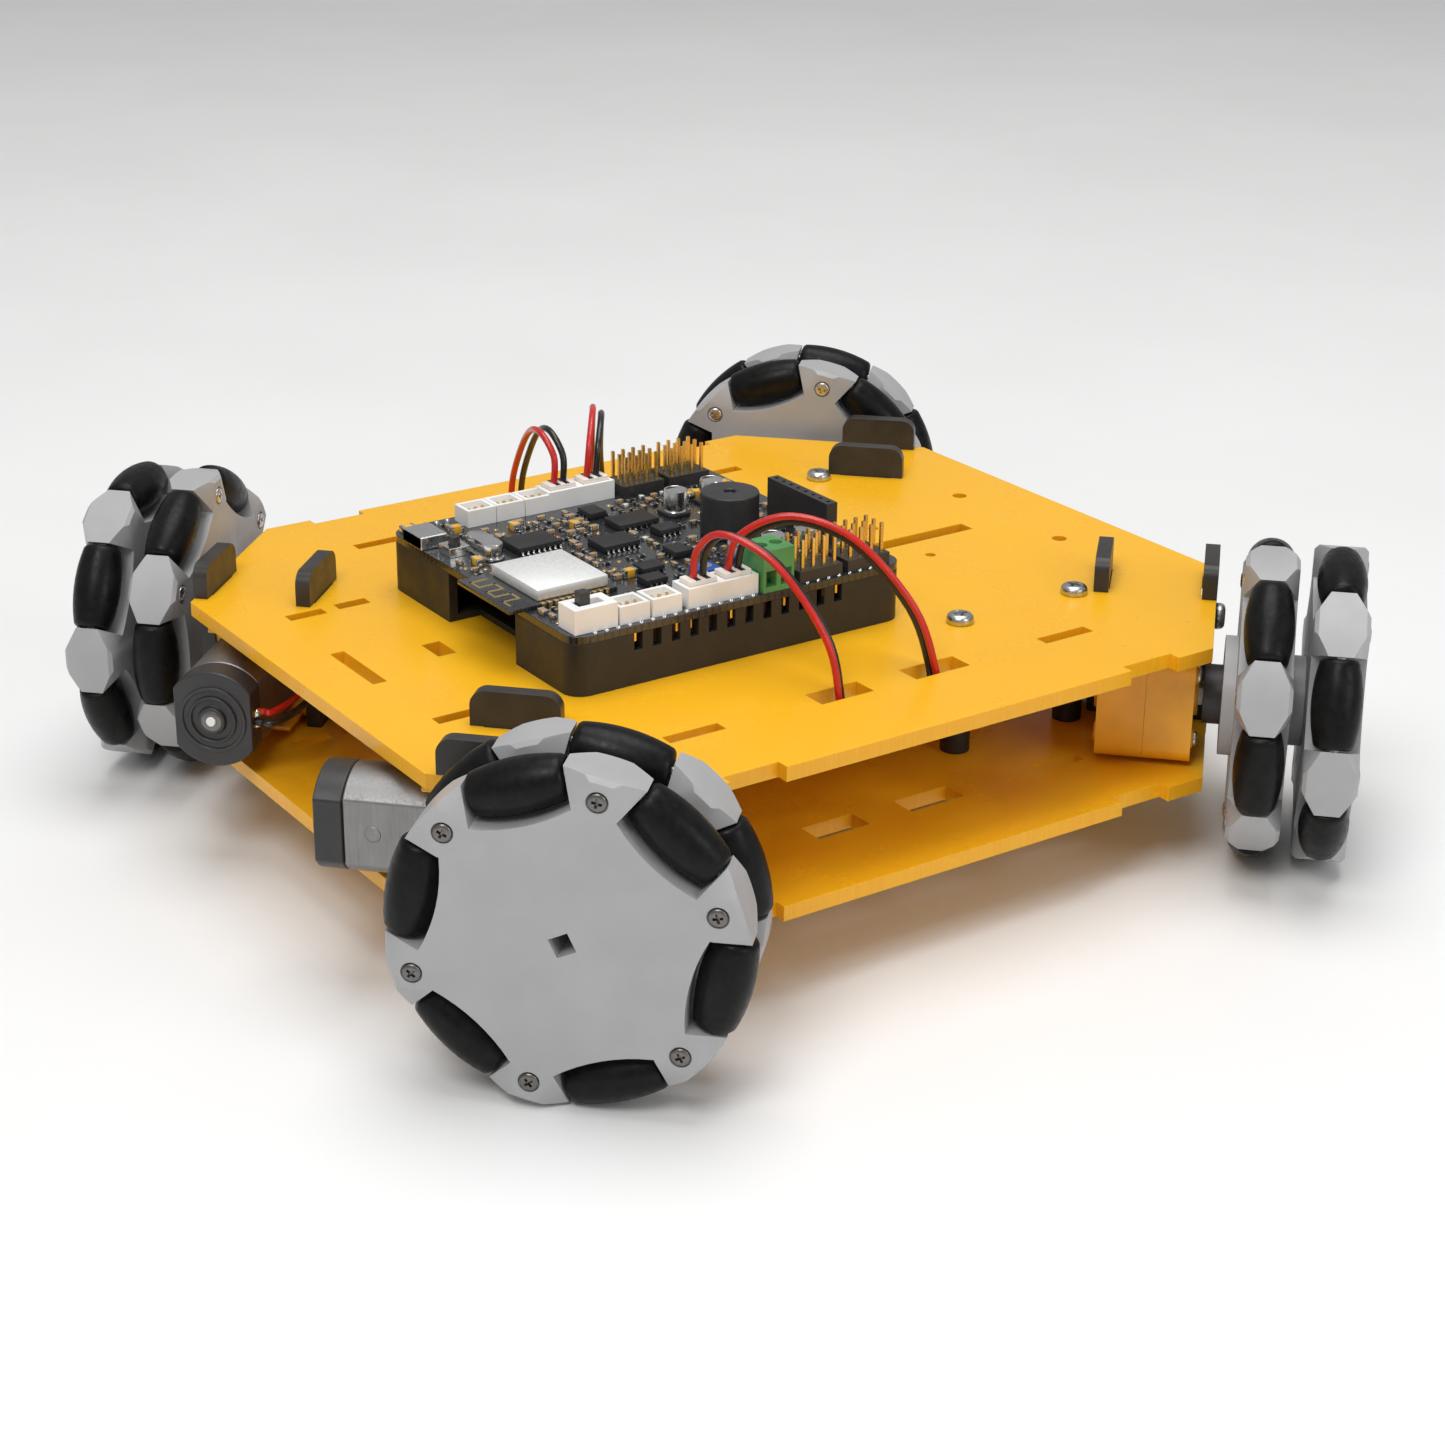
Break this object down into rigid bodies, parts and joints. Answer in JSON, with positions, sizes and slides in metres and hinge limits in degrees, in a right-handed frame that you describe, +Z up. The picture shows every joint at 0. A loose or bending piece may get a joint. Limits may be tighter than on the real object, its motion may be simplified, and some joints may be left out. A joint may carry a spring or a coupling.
{
  "type": "omni wheel robot",
  "caption": "Flat two-plate kit robot with double-row omni wheels at 45 degrees on its cut corners, geared motors between the plates and a controller board on top.",
  "frame": {"origin": "on the ground under the middle of the chassis", "axes": "+Z up, the robot's front is -Y, its left side is +X; the wheels' axles lie along the horizontal diagonals"},
  "size_m": [0.2272, 0.2272, 0.0762],
  "materials": {
    "plate_yellow": "gloss",
    "gearbox_yellow": "satin",
    "steel": "satin",
    "can_steel": "satin",
    "black_plastic": "satin",
    "hub_grey": "satin",
    "roller_rubber": "satin",
    "white_plastic": "satin",
    "board_black": "gloss",
    "shield_white": "satin",
    "cap_silver": "satin",
    "terminal_green": "satin",
    "pin_gold": "satin",
    "battery_wrap": "satin",
    "lead_red": "satin",
    "lead_black": "satin"
  },
  "bodies": {
    "chassis": {"top_plate": "plate_yellow", "bottom_plate": "plate_yellow", "standoffs": "black_plastic", "chassis_screws": "steel", "gearbox_front_left": "gearbox_yellow", "gearbox_rear_left": "gearbox_yellow", "gearbox_rear_right": "gearbox_yellow", "gearbox_front_right": "gearbox_yellow", "motor_cans": "can_steel", "motor_end_caps": "black_plastic", "inner_brackets": "black_plastic", "outer_brackets": "black_plastic", "bracket_bolts": "steel", "board_tray": "black_plastic", "circuit_board": "board_black", "radio_module": "shield_white", "buzzer": "black_plastic", "capacitors": "cap_silver", "screw_terminal": "terminal_green", "board_connectors": "white_plastic", "pin_headers": "pin_gold", "usb_port": "cap_silver", "female_header": "black_plastic", "power_switch": "white_plastic", "button_base": "cap_silver", "battery_pack": "battery_wrap", "lead_plugs": "white_plastic", "red_leads": "lead_red", "black_leads": "lead_black"},
    "wheel_front_left": {"hub_outer_front_left": "hub_grey", "hub_inner_front_left": "hub_grey", "wheel_pins_front_left": "steel", "drive_shaft_front_left": "white_plastic"},
    "wheel_rear_left": {"hub_rear_left": "hub_grey", "rollers_rear_left": "roller_rubber", "wheel_pins_rear_left": "steel", "drive_shaft_rear_left": "white_plastic"},
    "wheel_rear_right": {"hub_rear_right": "hub_grey", "rollers_rear_right": "roller_rubber", "wheel_pins_rear_right": "steel", "drive_shaft_rear_right": "white_plastic"},
    "wheel_front_right": {"hub_front_right": "hub_grey", "rollers_front_right": "roller_rubber", "wheel_pins_front_right": "steel", "drive_shaft_front_right": "white_plastic"},
    "roller_front_left_1": {"roller_front_left_1": "roller_rubber"},
    "roller_front_left_2": {"roller_front_left_2": "roller_rubber"},
    "roller_front_left_3": {"roller_front_left_3": "roller_rubber"},
    "roller_front_left_4": {"roller_front_left_4": "roller_rubber"},
    "roller_front_left_5": {"roller_front_left_5": "roller_rubber"},
    "roller_front_left_6": {"roller_front_left_6": "roller_rubber"},
    "roller_front_left_7": {"roller_front_left_7": "roller_rubber"},
    "roller_front_left_8": {"roller_front_left_8": "roller_rubber"},
    "roller_front_left_9": {"roller_front_left_9": "roller_rubber"},
    "roller_front_left_10": {"roller_front_left_10": "roller_rubber"},
    "roller_front_left_11": {"roller_front_left_11": "roller_rubber"},
    "roller_front_left_12": {"roller_front_left_12": "roller_rubber"},
    "switch_slider": {"switch_slider": "black_plastic"},
    "reset_button": {"reset_button": "black_plastic"}
  },
  "joints": [
    {"name": "front_left_wheel_spin", "type": "hinge", "parent": "chassis", "child": "wheel_front_left", "pos_m": [0.08365, -0.08365, 0.032], "axis": [0.7071, -0.7071, 0], "continuous": true},
    {"name": "rear_left_wheel_spin", "type": "hinge", "parent": "chassis", "child": "wheel_rear_left", "pos_m": [0.08365, 0.08365, 0.032], "axis": [0.7071, 0.7071, 0], "continuous": true},
    {"name": "rear_right_wheel_spin", "type": "hinge", "parent": "chassis", "child": "wheel_rear_right", "pos_m": [-0.08365, 0.08365, 0.032], "axis": [-0.7071, 0.7071, 0], "continuous": true},
    {"name": "front_right_wheel_spin", "type": "hinge", "parent": "chassis", "child": "wheel_front_right", "pos_m": [-0.08365, -0.08365, 0.032], "axis": [-0.7071, -0.7071, 0], "continuous": true},
    {"name": "roller_front_left_1_spin", "type": "hinge", "parent": "wheel_front_left", "child": "roller_front_left_1", "pos_m": [0.1015, -0.07527, 0.05189], "axis": [-0.5171, -0.5171, 0.682], "continuous": true},
    {"name": "roller_front_left_2_spin", "type": "hinge", "parent": "wheel_front_left", "child": "roller_front_left_2", "pos_m": [0.08277, -0.09401, 0.05801], "axis": [-0.6762, -0.6762, -0.2924], "continuous": true},
    {"name": "roller_front_left_3_spin", "type": "hinge", "parent": "wheel_front_left", "child": "roller_front_left_3", "pos_m": [0.06965, -0.10713, 0.03812], "axis": [-0.1591, -0.1591, -0.9744], "continuous": true},
    {"name": "roller_front_left_4_spin", "type": "hinge", "parent": "wheel_front_left", "child": "roller_front_left_4", "pos_m": [0.07527, -0.1015, 0.01211], "axis": [0.5171, 0.5171, -0.682], "continuous": true},
    {"name": "roller_front_left_5_spin", "type": "hinge", "parent": "wheel_front_left", "child": "roller_front_left_5", "pos_m": [0.09401, -0.08277, 0.00599], "axis": [0.6762, 0.6762, 0.2924], "continuous": true},
    {"name": "roller_front_left_6_spin", "type": "hinge", "parent": "wheel_front_left", "child": "roller_front_left_6", "pos_m": [0.10713, -0.06965, 0.02588], "axis": [0.1591, 0.1591, 0.9744], "continuous": true},
    {"name": "roller_front_left_7_spin", "type": "hinge", "parent": "wheel_front_left", "child": "roller_front_left_7", "pos_m": [0.08324, -0.07459, 0.0585], "axis": [-0.689, -0.689, 0.225], "continuous": true},
    {"name": "roller_front_left_8_spin", "type": "hinge", "parent": "wheel_front_left", "child": "roller_front_left_8", "pos_m": [0.06485, -0.09298, 0.05055], "axis": [-0.4822, -0.4822, -0.7314], "continuous": true},
    {"name": "roller_front_left_9_spin", "type": "hinge", "parent": "wheel_front_left", "child": "roller_front_left_9", "pos_m": [0.06052, -0.09731, 0.02405], "axis": [0.2067, 0.2067, -0.9563], "continuous": true},
    {"name": "roller_front_left_10_spin", "type": "hinge", "parent": "wheel_front_left", "child": "roller_front_left_10", "pos_m": [0.07459, -0.08324, 0.0055], "axis": [0.689, 0.689, -0.225], "continuous": true},
    {"name": "roller_front_left_11_spin", "type": "hinge", "parent": "wheel_front_left", "child": "roller_front_left_11", "pos_m": [0.09298, -0.06485, 0.01345], "axis": [0.4822, 0.4822, 0.7314], "continuous": true},
    {"name": "roller_front_left_12_spin", "type": "hinge", "parent": "wheel_front_left", "child": "roller_front_left_12", "pos_m": [0.09731, -0.06052, 0.03995], "axis": [-0.2067, -0.2067, 0.9563], "continuous": true},
    {"name": "power_switch_slide", "type": "slide", "parent": "chassis", "child": "switch_slider", "axis": [0, 1, 0], "range_m": [0, 0.0025]},
    {"name": "reset_button_press", "type": "slide", "parent": "chassis", "child": "reset_button", "axis": [0, 0, -1], "range_m": [0, 0.0005], "stiffness_N_per_m": 300, "springref_m": -0.0005}
  ]
}
